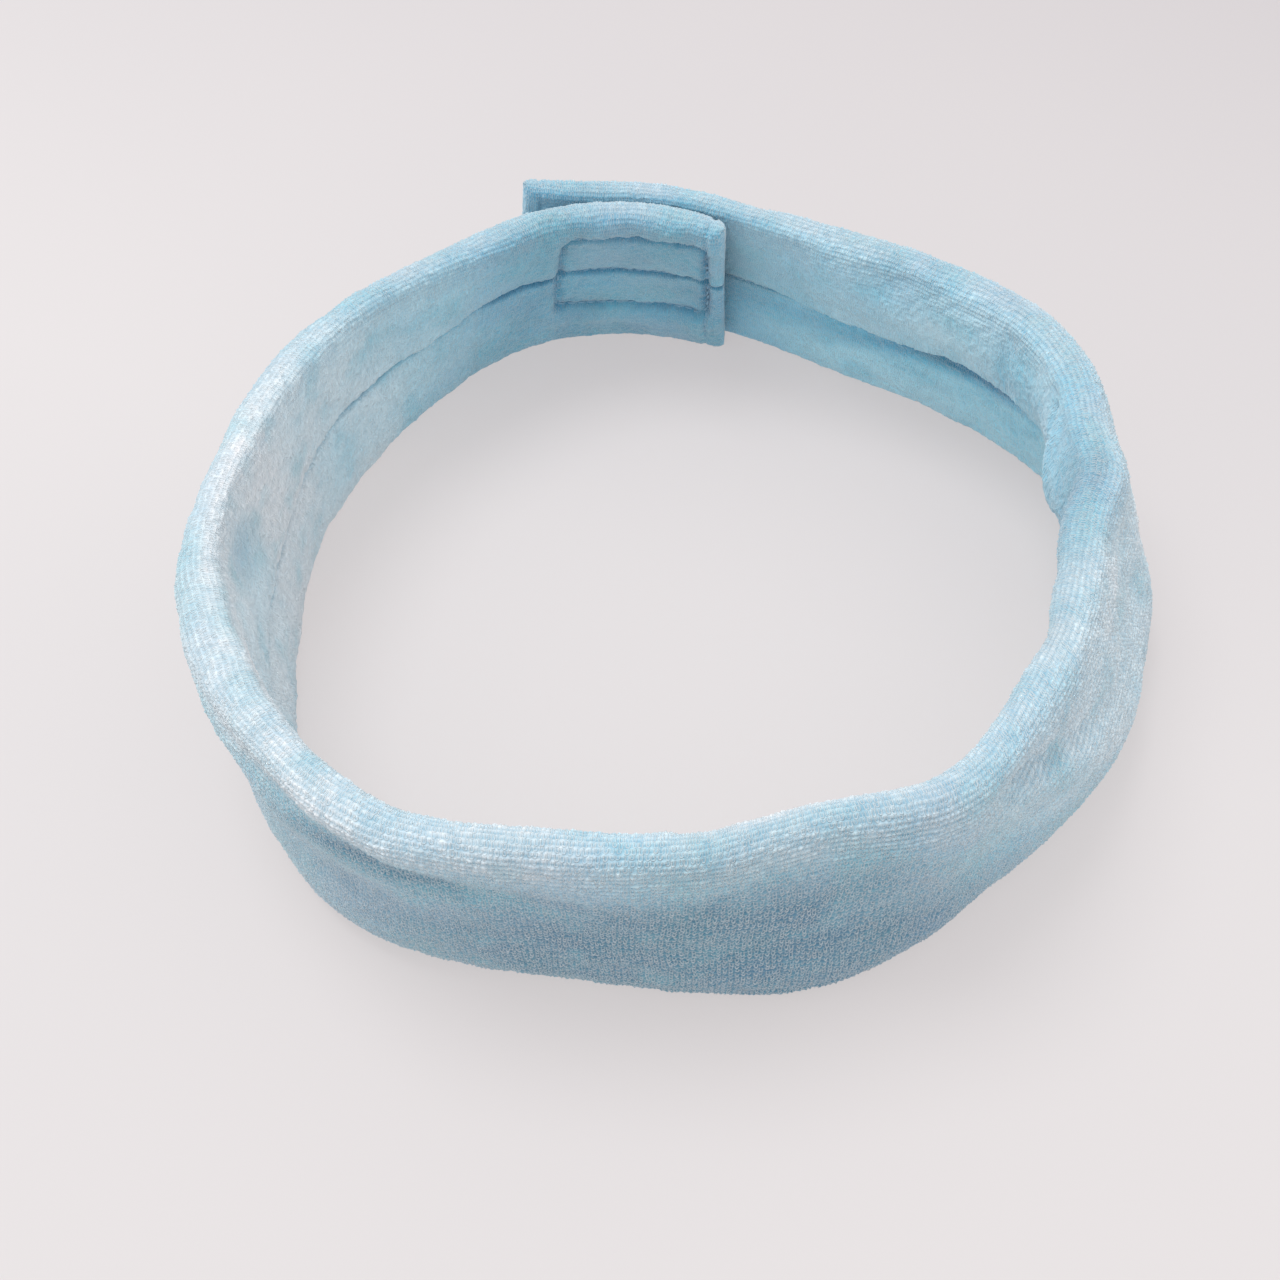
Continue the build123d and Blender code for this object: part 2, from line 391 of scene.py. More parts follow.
def section(v, half, crease, crease_at, seam_at, puff, droop, roll, hollow, swell, shut):
    """As stadium, with the fabric's own form, and where each point lies: its level from foot
    to top, and how far it belongs to the outer and to the inner face."""
    up, out, flat = stadium(v, half)
    t = up / flat
    outer, inner = smooth(out / half, 0.0, 0.9), smooth(-out / half, 0.0, 0.9)
    out = out * (1 + swell * smooth(t, 0.55, 1.0)) * (1 - SLACK * hump(t, 0.5, 0.32))
    rolls = roll * hump(t, 0.88, 0.16) - hollow * hump(t, 0.55, 0.2) + FOOT_ROLL * hump(t, 0.2, 0.2)
    out = out + outer * rolls
    above = smooth(t, seam_at - 0.005, seam_at + 0.06) * (1 - smooth(t, 0.66, 1.1))
    out = out - inner * puff * above
    up = up - inner * droop * hump(t, seam_at + 0.045, 0.055)
    # The crease bends the section like a roof, which lowers the top edge
    fall = np.where(t < crease_at, (crease_at - t) / crease_at, (t - crease_at) / (1 - crease_at))
    ease = CREASE_EASE
    roof = 1 - (np.sqrt(fall**2 + ease**2) - ease) / (sqrt(1 + ease**2) - ease)
    out = out + crease * roof
    up = up - crease**2 / (2 * flat) * (1 / crease_at + 1 / (1 - crease_at)) * np.clip(t, 0, 1)
    return up, out * shut, t, outer, inner


END_REACH = 3.0                  # the free ends are rounded off over this length


def end_closing(distance):
    """Share of its full thickness that the tube has at a distance from a free end."""
    return np.sqrt(np.clip(1 - (1 - np.clip(distance / END_REACH, 0, 1)) ** 2, 0, 1))


def tube(shut):
    """Points of the tube, with their levels and faces."""
    form = [a[:, None] for a in (*shape.T, shut)]
    up, out, level, outer, inner = section(around[None, :], *form)
    points = foot[:, None] + axis_up[:, None] * up[..., None] + outward[:, None] * out[..., None]
    return points, level, outer, inner


shut = end_closing(along) * end_closing(LENGTH - along)
base, level, outer, inner = tube(shut)
closing = shut[:, None]
U = along[:, None] + 0 * around[None, :]
V = around[None, :] * PERIMETER + 0 * U


# ---------------------------------------------------------------- fields on the grid

def value_noise(scale_u, scale_v, seed):
    """Smooth noise from -1 to 1 on the grid, periodic round the tube."""
    draw = np.random.default_rng(seed)
    across = max(2, int(round(PERIMETER / scale_v)))
    table = draw.uniform(-1, 1, (int(LENGTH / scale_u) + 3, across))
    x, y = along / scale_u, around * across
    i, j = x.astype(int), y.astype(int)
    fx, fy = smooth(x - i, 0, 1)[:, None], smooth(y - j, 0, 1)[None, :]
    j2 = (j + 1) % across
    near, far = (part[:, j] * (1 - fy) + part[:, j2] * fy for part in (table[i], table[i + 1]))
    return near * (1 - fx) + far * fx


def grid_normals(points):
    """Outward unit normals of the grid."""
    around_tube = np.roll(points, -1, 1) - np.roll(points, 1, 1)
    return unit(np.cross(np.gradient(points, axis=0), around_tube))


def box_distance(x, y, half_x, half_y, corner):
    """Distance from a rounded rectangle's line, + outside."""
    qx, qy = np.abs(x) - half_x + corner, np.abs(y) - half_y + corner
    inside = np.minimum(np.maximum(qx, qy), 0)
    return np.hypot(np.maximum(qx, 0), np.maximum(qy, 0)) + inside - corner


TAB_HALF = INNER_TAB[2]
FLAT_TAB = BAND_WIDTH - 2 * TAB_HALF
TAPE_PLACE = 0.575               # level of the tapes' middle
TAPE_HALF_HEIGHT = 12.5
TAPE_ENDS = (68.5, 106.3)        # degrees about the tab centre
STITCH_BORDER = 1.2              # the box of stitches runs this far outside the tape
BOX_CORNER = 2.4
FAR_AWAY = 99.0
# Where each tape starts and ends along the tube, and the face it is on
INNER_TAPE = (*(inner_place(angle) for angle in TAPE_ENDS), 1)
OUTER_TAPE = (*(outer_place(angle) for angle in TAPE_ENDS), -1)


def tape_distance(tape, face, border):
    """Distance from the line round a tape, seen on one face, and far away on the other."""
    x, y = U - (tape[0] + tape[1]) / 2, (level - TAPE_PLACE) * FLAT_TAB
    half_x = (tape[1] - tape[0]) / 2 + border
    distance = box_distance(x, y, half_x, TAPE_HALF_HEIGHT + border, BOX_CORNER)
    return np.where(face > 0.5, distance, FAR_AWAY)


inner_box = tape_distance(INNER_TAPE, inner, STITCH_BORDER)      # the sides that show
outer_box = tape_distance(OUTER_TAPE, outer, STITCH_BORDER)
tape_beds = np.minimum(tape_distance(INNER_TAPE, outer, 0), tape_distance(OUTER_TAPE, inner, 0))
# The tabs' sides that lie against each other, and distance from the seam in levels
facing = outer * (1 - smooth(U, inner_place(112), inner_place(124)))
facing = facing + inner * smooth(U, ring_place(408), outer_place(66))
OFF_SEAM = 9.0
seam_mark = inner * np.abs(level - seam_at[:, None]) + OFF_SEAM * (1 - inner)


# ---------------------------------------------------------------- cloth simulation

CLOTH_SKIP = 8                   # fine rows and columns to each simulated one
CLOTH_UNIT = 0.03                # the simulated tube is thirty times the real size
CLOTH_FRAMES = 20
CLOTH_LIMIT = 1.7                # no point moves further than this
CLOTH_END = 0.6                  # least share of its thickness that the simulated tube has
HELD_FOOT, HELD_SEAM = 0.02, 0.035     # levels from the foot and from the seam
HELD_STITCHES = 1.5              # distance from a box of stitches


def spline_weights(f):
    second, third = (3 * f**3 - 6 * f**2 + 4) / 6, (1 + 3 * f + 3 * f**2 - 3 * f**3) / 6
    return (1 - f) ** 3 / 6, second, third, f**3 / 6


def upsample(field, x, y):
    """Cubic B-spline through a coarse field, at fine rows x and at columns y, which go round."""
    i, j = np.floor(x).astype(int), np.floor(y).astype(int)
    last, wide = len(field) - 1, field.shape[1]
    weights_x, weights_y = enumerate(spline_weights(x - i)), enumerate(spline_weights(y - j))
    across = sum(w[None, :, None] * field[:, (j + k - 1) % wide] for k, w in weights_y)
    return sum(w[:, None, None] * across[np.clip(i + k - 1, 0, last)] for k, w in weights_x)


def simulated(points, held):
    """Where pressure inside takes the points of a tube of cloth that is held at some of them."""
    count, wide = points.shape[:2]
    i, j = np.meshgrid(np.arange(count - 1), np.arange(wide), indexing="ij")
    j2 = (j + 1) % wide
    faces = np.stack([a * wide + b for a, b in ((i, j), (i + 1, j), (i + 1, j2), (i, j2))], -1)
    mesh = bpy.data.meshes.new("cloth")
    scaled = (points.reshape(-1, 3) * CLOTH_UNIT).tolist()
    mesh.from_pydata(scaled, [], faces.reshape(-1, 4).tolist())
    cloth = bpy.data.objects.new("cloth", mesh)
    scene.collection.objects.link(cloth)
    group = cloth.vertex_groups.new(name="held")
    group.add(np.flatnonzero(held.ravel()).tolist(), 1.0, "REPLACE")
    modifier = cloth.modifiers.new("cloth", "CLOTH")
    modifier.collision_settings.use_collision = False
    modifier.point_cache.frame_start, modifier.point_cache.frame_end = 1, CLOTH_FRAMES
    settings = modifier.settings
    settings.quality = 6
    settings.mass = 0.15
    settings.tension_stiffness = settings.compression_stiffness = 15
    settings.shear_stiffness = 5
    settings.bending_stiffness = 1.0
    settings.use_pressure = True
    settings.uniform_pressure_force = 4
    settings.shrink_min = -0.04          # the cloth is larger than its shape, so it wrinkles
    settings.effector_weights.gravity = 0
    settings.vertex_group_mass = "held"
    for frame_number in range(1, CLOTH_FRAMES + 1):
        scene.frame_set(frame_number)
    result = cloth.evaluated_get(bpy.context.evaluated_depsgraph_get())
    moved = np.empty(points.size)
    result.data.vertices.foreach_get("co", moved)
    bpy.data.objects.remove(cloth)
    scene.frame_set(1)
    return moved.reshape(points.shape) / CLOTH_UNIT


def cloth_movement():
    """How far the filled and sewn tube's fabric moves from the plain form, on the fine grid."""
    open_ends, *_ = tube(np.maximum(shut, CLOTH_END))
    picked = np.round(np.linspace(0, rows - 1, (rows - 1) // CLOTH_SKIP + 1)).astype(int)
    coarse = np.ix_(picked, np.arange(0, COLUMNS, CLOTH_SKIP))
    held = (level < HELD_FOOT) | (seam_mark < HELD_SEAM) | (facing > 0.5)
    held |= (np.abs(inner_box) < HELD_STITCHES) | (np.abs(outer_box) < HELD_STITCHES)
    held = held[coarse]
    held[:2] = held[-2:] = True
    start = open_ends[coarse]
    move = simulated(start, held) - start
    length = np.linalg.norm(move, axis=-1, keepdims=True)
    move = move * CLOTH_LIMIT / (CLOTH_LIMIT + length)
    place = np.interp(np.arange(rows), picked, np.arange(len(picked)))
    return upsample(move, place, np.arange(COLUMNS) / CLOTH_SKIP)


filled = base + cloth_movement() * closing[..., None]


# ---------------------------------------------------------------- stitching, dimples and pile

END_INSET = 3.8                  # the line of stitches along a free end is this far from it
HOLLOW_DEPTH, RIM_DEPTH = 1.9, 2.2
FOLD_EDGE = (372, 364)           # the right fold's edge: ring angles at the top and half-way down


def quilted(distance):
    """Relief along a line of stitching that pulls the towelling down, with small puckers."""
    pulled = -1.25 * hump(distance, 0, 1.15) - 0.5 * smooth(-distance, 0, 3)
    puffed = 0.55 * hump(distance, 4.2, 2.4)
    puckers = 0.3 * value_noise(1.9, 1.9, 21) * hump(distance, 0, 2.6)
    puckers = puckers + 0.2 * value_noise(3.1, 4, 22) * hump(distance, 0, 5)
    return pulled + puffed + puckers


def patch(angle, height, reach, spread, strength):
    """A soft patch about a ring angle and a level, with its reach along the tube and its
    spread in levels."""
    return strength * hump(U, ring_place(angle), reach) * hump(level, height, spread)


def stretch(start, full, fading, end):
    """1 along part of the ring, easing to 0 outside it, from four ring angles."""
    rising = smooth(along, ring_place(start), ring_place(full))
    return rising * (1 - smooth(along, ring_place(fading), ring_place(end)))


# Patches that lie deeper, the strength being the depth, on the inner (-1) or outer (1) face
DIMPLES = [
    (190, 0.71, 11, 0.19, 1.8, -1),
    (147, 0.76, 11, 0.2, 1.2, -1),
    (160, 0.7, 7, 0.15, 0.6, -1),
    (139, 0.22, 3, 0.16, 0.9, -1),
    (400, 0.78, 9, 0.16, 0.8, -1),
    (386, 0.82, 7, 0.14, 0.8, -1),
    (312, 0.86, 9, 0.10, 1.2, 1),
    (322, 0.80, 8, 0.10, 1.0, 1),
    (232, 0.5, 14, 0.13, 0.8, 1),
    (352, 0.8, 10, 0.12, 0.8, 1),
]
dimples = np.zeros_like(U)
for *row, face in DIMPLES:
    dimples -= patch(*row) * (inner if face < 0 else outer)

# A hollow runs down from under the top edge at the front left: ring angles and levels
HOLLOW_LINE = [
    (208, 1.0), (222, 0.94), (231, 0.91), (239, 0.85), (246, 0.78), (255, 0.74), (275, 0.66)
]
hollow_places = [ring_place(angle) for angle, _ in HOLLOW_LINE]
hollow_level = np.interp(along, hollow_places, [t for _, t in HOLLOW_LINE])[:, None]
hollow_depth = HOLLOW_DEPTH * stretch(212, 228, 243, 268)[:, None]
over_top = np.clip(outer + smooth(level, 0.9, 0.98), 0, 1)
dimples -= hollow_depth * hump(level, hollow_level, 0.11) * over_top
# The rim of the fold at the front right stands up over a shallow valley
rim_depth = RIM_DEPTH * stretch(299, 308, 322, 334)[:, None]
dimples -= rim_depth * hump(level, crease_at[:, None] + 0.15, 0.075) * outer
# The right side's fold edge lies over the back's upper part, with a groove beside it
fold_top, fold_middle = (ring_place(angle) for angle in FOLD_EDGE)
fold_edge = U - (fold_top - (fold_top - fold_middle) * (1 - level) / 0.5)
fold_reach = inner * smooth(level, 0.42, 0.52) * (1 - smooth(level, 0.9, 1.02))
dimples += fold_reach * (1.2 * hump(fold_edge, -2.0, 2.2) - 1.7 * hump(fold_edge, 2.2, 2.2))

relief = 0.42 * value_noise(19, 15, 3) + 0.28 * value_noise(8, 7, 4)
relief = relief + 0.12 * value_noise(3.5, 3.5, 5) + dimples
in_box = smooth(-inner_box, -1, 1)
relief = relief - (1.3 - 0.5 * in_box) * hump(seam_mark, 0, 0.017)
relief = (relief + quilted(inner_box) + quilted(outer_box)) * (1 - 0.85 * np.clip(facing, 0, 1))
for distance in (U, LENGTH - U):
    relief = relief - 0.45 * hump(distance, END_INSET, 0.6)
skin = filled + grid_normals(filled) * (relief * closing)[..., None]

# Towelling: loops stand in rows along the tube, one above each wale of the knit
ROW_PITCH, WALE_PITCH = 1.05, 0.95
PILE_LIFT, PILE_MIDDLE = 0.78, 0.4     # the pile's depth, and its height that lies on the form
weave_u = U + 0.5 * value_noise(9, 12, 11)
weave_v = V + 0.5 * value_noise(12, 9, 12) + 0.2 * value_noise(2.6, 2.2, 16)
cell_u, cell_v = weave_u / WALE_PITCH, weave_v / ROW_PITCH
out_share = outer - inner
lean_u = 0.42 * value_noise(1.1, 1.1, 15)
rows_wave = 0.5 + 0.5 * np.cos(2 * pi * cell_v)
loops = (0.5 + 0.5 * np.cos(2 * pi * (cell_u + lean_u))) * rows_wave
tufts = 0.5 + 0.5 * value_noise(1.0, 1.05, 13)
fuzz = 0.5 + 0.5 * value_noise(0.42, 0.42, 14)
brushed = smooth(-out_share, -0.3, 0.9) * (1 - smooth(level, 0.8, 1.05))
left_softening = 0.45 * hump(along, ring_place(186), 52)[:, None]
# How clearly loops show: little where the inside is brushed, and less about the left of the ring
crisp = (1 - 0.75 * brushed) * (1 - left_softening)
pile = crisp * (0.5 * loops * (0.4 + 0.6 * tufts) + 0.16 * rows_wave)
pile = pile + (0.42 - 0.22 * crisp) * tufts + (0.42 - 0.28 * crisp) * fuzz + 0.1 * (1 - crisp)
pressed = 1 - 0.8 * smooth(-tape_beds, -0.6, 0.6) - 0.3 * np.clip(facing, 0, 1) * (tape_beds > 0)
lift = PILE_LIFT * (pile - PILE_MIDDLE) * np.sqrt(closing) * pressed
skin = skin + grid_normals(skin) * lift[..., None]
skin[..., 2] = np.maximum(skin[..., 2], 0.0)
normal = grid_normals(skin)

# Patches that are paler (+) or deeper (-) in colour, on the inner (-1), outer (1) or both faces
# (0), mostly painted light on lit tops and sides and painted shade in dips and low shaded faces,
# with some uneven dye
LIGHT_AND_TONE_PATCHES = [
    (234, 0.97, 32, 0.25, 0.45, 1),
    (192, 0.7, 44, 0.3, 0.3, -1),
    (175, 0.40, 60, 0.6, 0.42, -1),
    (190, 0.71, 11, 0.18, -0.85, -1),
    (168, 0.9, 25, 0.3, 0.25, -1),
    (147, 0.72, 12, 0.2, -0.2, -1),
    (238, 0.82, 20, 0.12, -0.8, 1),
    (262, 0.3, 45, 0.5, -0.48, 1),
    (294, 0.15, 30, 0.42, -0.5, 1),
    (280, 0.68, 26, 0.12, -0.2, 1),
    (270, 0.97, 40, 0.14, 0.25, 0),
    (338, 0.6, 50, 0.42, 0.95, 1),
    (356, 0.9, 15, 0.3, -0.55, -1),
    (350, 1.0, 16, 0.1, -0.35, 0),
    (336, 0.97, 18, 0.14, -0.25, -1),
    (400, 0.78, 14, 0.14, 0.3, -1),
    (384, 0.8, 12, 0.14, -0.25, -1),
    (412, 0.9, 16, 0.14, -0.2, -1),
    (392, 0.14, 50, 0.2, 0.75, -1),
]
# Painted shade along the seam's groove, round the boxes of stitches and under the lip
SEAM_SHADE, BOX_SHADE, LIP_SHADE = 0.55, 0.35, 1.05
on_ring = smooth(U, inner_place(118), ring_place(140))
on_ring = on_ring * (1 - smooth(U, ring_place(418), outer_place(70)))
# Painted highlight: paler towards the top edge, on a little random colour variation
painted_light_and_tone = 0.42 + 0.12 * smooth(level, 0.8, 1.0)
painted_light_and_tone = painted_light_and_tone + 0.08 * value_noise(24, 18, 31) + 0.06 * value_noise(7, 6, 32)
# Painted light on the ring's inner faces, painted shade on the tabs' inner faces
painted_light_and_tone = painted_light_and_tone + inner * (0.34 * on_ring - 0.06 * (1 - on_ring))
painted_light_and_tone = painted_light_and_tone - SEAM_SHADE * hump(seam_mark, 0, 0.022) - BOX_SHADE * hump(inner_box, 0, 1.3)
# Painted shadow: a dark band under the lip that the back's upper part makes over its seam
lip_shadow = hump(U, ring_place(388), 46) * hump(level, seam_at[:, None] - 0.13, 0.085)
painted_light_and_tone = painted_light_and_tone - LIP_SHADE * inner * lip_shadow
for *row, face in LIGHT_AND_TONE_PATCHES:
    painted_light_and_tone = painted_light_and_tone + patch(*row) * (1 - (0, inner, outer)[face])
# How blue it is, as painted bounce light and painted shade with a little random tint: most inside
# the back of the ring and in shaded dips, also low inside the right and on the right front's outer
# face
back = 0.8 - 0.8 * smooth(along, ring_place(125), ring_place(180))
back = back + smooth(along, ring_place(318), ring_place(374))
low_right = smooth(along, ring_place(335), ring_place(378))[:, None]
low_right = low_right * inner * (1 - smooth(level - seam_at[:, None], -0.1, 0.0))
# Painted shade: bluer where the inside is painted darkest
shaded_hollows = inner * (1 - smooth(painted_light_and_tone, 0.0, 0.4))
bounce_and_tint_blueness = inner * (0.3 + 0.7 * np.clip(back, 0, 1))[:, None]
bounce_and_tint_blueness = bounce_and_tint_blueness + 0.35 * outer * smooth(along, ring_place(288), ring_place(312))[:, None]
bounce_and_tint_blueness = bounce_and_tint_blueness + 0.5 * low_right + 0.25 * value_noise(16, 13, 33) + 0.4 * shaded_hollows
bounce_and_tint_blueness = np.clip(bounce_and_tint_blueness, 0, 1.4)
painted_light_and_tone = np.clip(painted_light_and_tone, 0, 1)


# ---------------------------------------------------------------- materials

WEAVE_UNIT = 10                  # the weave's UVs are in centimetres
LOOP_MIDDLE, LOOP_RADIUS = 0.68, 0.27  # in cells of the knit
LOOP_SCATTER = 0.36
# Painted highlight on the loops, painted shade at their roots, and the blue of painted bounce light
LOOP_SHINE = rgb(230, 239, 243)
ROOT_SHADE = (0.42, 0.6, 0.7, 1)
BLUE_BOUNCE_AND_TINT = (0.48, 0.98, 1.14, 1)


def terry_material():
    """Looped knit: rows of small loops from the UVs, each with a painted highlight, painted shade
    at the pile's roots from its height, painted light and shade from the attribute look, random
    patches of teal, and blue that is mostly painted bounce light."""
    n = Nodes("terry")
    uv = n.add("ShaderNodeUVMap", uv_map="weave").outputs["UV"]
    tip = n.add("ShaderNodeAttribute", attribute_name="pile").outputs["Fac"]
    look = n.add("ShaderNodeAttribute", attribute_name="look").outputs["Color"]
    looks = n.add("ShaderNodeSeparateColor", {"Color": look}).outputs
    painted_light_and_tone, bounce_and_tint_blueness, crisp = looks[0], looks[1], looks[2]
    # Each cell of the knit shows one loop: an arch of yarn, a little out of its place
    split = n.add("ShaderNodeSeparateXYZ", {"Vector": uv}).outputs
    x = n.math("DIVIDE", split["X"], WALE_PITCH / WEAVE_UNIT)
    y = n.math("DIVIDE", split["Y"], ROW_PITCH / WEAVE_UNIT)
    corner = {"X": n.math("FLOOR", x), "Y": n.math("FLOOR", y)}
    cell = n.add("ShaderNodeCombineXYZ", corner).outputs[0]
    chance = n.add("ShaderNodeTexWhiteNoise", {"Vector": cell}, noise_dimensions="3D")
    draws = n.add("ShaderNodeSeparateColor", {"Color": chance.outputs["Color"]}).outputs
    x, y = (
        n.math(
            "ADD",
            n.math("SUBTRACT", n.math("FRACT", value), LOOP_MIDDLE),
            n.math("MULTIPLY", draw, LOOP_SCATTER),
        )
        for value, draw in ((x, draws[0]), (y, draws[1]))
    )
    below = n.math("MINIMUM", y, 0.0)
    squares = n.math("ADD", n.math("MULTIPLY", x, x), n.math("MULTIPLY", below, below))
    bow = n.math("POWER", squares, 0.5)
    line = n.math("ABSOLUTE", n.math("SUBTRACT", bow, LOOP_RADIUS))
    loop = n.spread(line, 0.16, 0.02)
    loop = n.math("MULTIPLY", loop, n.spread(draws[2], 0.0, 1.0, 0.45, 1.0))
    big = n.noise(uv, 0.55, 2.0)
    shifted = n.add("ShaderNodeVectorMath", {0: uv, 1: (31.0, 7.0, 0)}).outputs[0]
    patches = n.noise(shifted, 0.9, 2.0)
    fine = n.noise(uv, 34.0, 3.0, 0.7)
    # deep is the painted-shade colour and pale the painted-highlight colour of one fabric, picked
    # by the look's painted light
    deep = n.mix(n.spread(big, 0.35, 0.65), rgb(88, 144, 165), rgb(98, 142, 168))
    middle = n.mix(n.spread(big, 0.35, 0.65), rgb(160, 204, 216), rgb(178, 205, 219))
    pale = n.mix(n.spread(patches, 0.4, 0.7), rgb(242, 240, 241), rgb(228, 234, 238))
    colour = n.mix(n.spread(painted_light_and_tone, 0.0, 0.5), deep, middle)
    colour = n.mix(n.spread(painted_light_and_tone, 0.5, 1.0), colour, pale)
    colour = n.mix(n.spread(patches, 0.52, 0.8, 0.0, 0.6), colour, rgb(146, 204, 214))
    # Painted bounce light: bluer where the look says so, with a little random tint
    blue = n.mix(1.0, colour, BLUE_BOUNCE_AND_TINT, "MULTIPLY")
    colour = n.mix(n.math("MULTIPLY", bounce_and_tint_blueness, 0.7), colour, blue)
    # Painted shade at the pile's roots, between the loops
    deeper = n.mix(1.0, colour, ROOT_SHADE, "MULTIPLY")
    root = n.mix(n.spread(crisp, 0.2, 1.0, 0.25, 1.0), colour, deeper)
    colour = n.mix(n.spread(tip, 0.12, 0.62), root, colour)
    # Painted highlight on each loop
    shine = n.spread(crisp, 0.2, 1.0, 0.2, 1.0)
    shine = n.math("MULTIPLY", n.math("MULTIPLY", loop, 0.55), shine)
    colour = n.mix(shine, colour, LOOP_SHINE)
    colour = n.mix(n.spread(fine, 0.55, 0.9, 0.0, 0.35), colour, rgb(233, 241, 244))
    height = n.math("ADD", loop, n.math("MULTIPLY", fine, 0.6))
    n.set(
        Base_Color=colour,
        Roughness=0.95,
        Specular_IOR_Level=0.15,
        Sheen_Weight=0.9,
        Sheen_Roughness=0.5,
        Sheen_Tint=rgb(236, 242, 245),
        Normal=n.bump(height, 0.00035, 0.7),
    )
    return n.material


def fibre_material(name, light, dark, grain, sheen, roughness=0.7):
    """Thread or tape: fine fibres with some colour variation."""
    n = Nodes(name)
    place = n.add("ShaderNodeTexCoord").outputs["Object"]
    fine = n.noise(place, grain, 3.0, 0.6)
    broad = n.noise(place, grain / 12, 2.0)
    colour = n.mix(n.spread(broad, 0.35, 0.65), rgb(*dark), rgb(*light))
    tips = rgb(*(min(255, c + 22) for c in light))
    colour = n.mix(n.spread(fine, 0.5, 0.8, 0.0, 0.5), colour, tips)
    n.set(
        Base_Color=colour,
        Roughness=roughness,
        Specular_IOR_Level=0.3,
        Sheen_Weight=sheen,
        Normal=n.bump(fine, 0.0001, 0.6),
    )
    return n.material


terry = terry_material()
thread = fibre_material("thread", (142, 186, 208), (116, 164, 192), 9000, 0.5)
loop_pile = fibre_material("loop_pile", (176, 208, 224), (154, 192, 212), 4000, 1.0, 0.9)
hook_nylon = fibre_material("hook_nylon", (188, 212, 226), (168, 198, 216), 1500, 0.2, 0.45)


# ---------------------------------------------------------------- skin pieces

def add_mesh(name, points, faces, material, normals=None):
    """A smooth mesh object from arrays of points, in millimetres, and of faces."""
    mesh = bpy.data.meshes.new(name)
    mesh.vertices.add(len(points))
    mesh.vertices.foreach_set("co", (np.asarray(points, float) * MM).astype(np.float32).ravel())
    corners = faces.shape[1]
    mesh.loops.add(faces.size)
    mesh.loops.foreach_set("vertex_index", faces.astype(np.int32).ravel())
    mesh.polygons.add(len(faces))
    mesh.polygons.foreach_set("loop_start", np.arange(0, faces.size, corners, dtype=np.int32))
    mesh.polygons.foreach_set("use_smooth", np.ones(len(faces), bool))
    mesh.update(calc_edges=True)
    mesh.validate()
    mesh.materials.append(material)
    if normals is not None:
        mesh.normals_split_custom_set_from_vertices(normals.tolist())
    thing = bpy.data.objects.new(name, mesh)
    scene.collection.objects.link(thing)
    return thing


def add_skin(name, first, last):
    """Rows first to last of the tube, with the weave's UVs, the pile's heights and, as the
    attribute look, its painted light and shade on its colour variation, its blueness, mostly
    painted bounce light, and how clearly looped it is."""
    count = last - first + 1
    points = skin[first : last + 1].reshape(-1, 3)
    i, j = np.meshgrid(np.arange(count - 1), np.arange(COLUMNS), indexing="ij")
    j2 = (j + 1) % COLUMNS
    corners = [(i, j), (i + 1, j), (i + 1, j2), (i, j2)]
    faces = np.stack([a * COLUMNS + b for a, b in corners], -1).reshape(-1, 4)
    piece = add_mesh(name, points, faces, terry, normal[first : last + 1].reshape(-1, 3))
    part_u, part_v = weave_u[first : last + 1], weave_v[first : last + 1]
    wrap = np.where(j2 == 0, PERIMETER, 0)
    uv_u = np.stack([part_u[a, b] for a, b in corners], -1)
    uv_v = np.stack([part_v[a, b] + (wrap if b is j2 else 0) for a, b in corners], -1)
    layer = piece.data.uv_layers.new(name="weave")
    uvs = np.stack([uv_u, uv_v], -1) / WEAVE_UNIT
    layer.data.foreach_set("uv", uvs.astype(np.float32).ravel())
    heights = piece.data.attributes.new("pile", "FLOAT", "POINT")
    heights.data.foreach_set("value", pile[first : last + 1].astype(np.float32).ravel())
    looks = np.stack([painted_light_and_tone, bounce_and_tint_blueness, crisp, np.ones_like(painted_light_and_tone)], -1)[first : last + 1]
    layer = piece.data.attributes.new("look", "FLOAT_COLOR", "POINT")
    layer.data.foreach_set("color", looks.astype(np.float32).ravel())
    return piece


def point_at(place):
    """Middle of the tube at a place along it, in metres."""
    row = row_at(place)
    return tuple((foot[row] + top[row]) / 2 * MM)


PEEL_PLACE = outer_place(64) - radians(4) * OUTER_TAB[0]      # level with the outer tab's axis

# Each piece of the tube: its name, where it ends, its bodies, and where a bend between them would
# start and end;
# only a piece without a bend follows its body, the others stay fixed where they lie
SKINS = [
    ("inner_tab", ring_place(142), ("inner_tab", "left_back"), (inner_place(110), ring_place(141))),
    ("left_back", ring_place(188), ("left_back", "left_side"), (ring_place(143), ring_place(187))),
    ("left_side", ring_place(250), ("left_side", "front"), (ring_place(200), ring_place(249))),
    ("front", ring_place(290), ("front",), ()),
    ("right_side", ring_place(349), ("front", "right_side"), (ring_place(291), ring_place(340))),
    (
        "right_back",
        ring_place(404),
        ("right_side", "right_back"),
        (ring_place(351), ring_place(403)),
    ),
    ("outer_tab", LENGTH, ("right_back", "outer_tab"), (PEEL_PLACE - 8, PEEL_PLACE + 7)),
]


def attach(piece, bodies, bend):
    if bend:
        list(bodies)
        point_at(bend[0])
        point_at(bend[1])
        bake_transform(piece)
    else:
        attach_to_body(piece, bodies[0])


begin = 0
for name, place, bodies, bend in SKINS:
    end = row_at(place)
    piece = add_skin(f"skin_{name}", begin, end)
    attach(piece, bodies, bend)
    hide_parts(f"band_{name}")
    begin = end


# ---------------------------------------------------------------- stitches

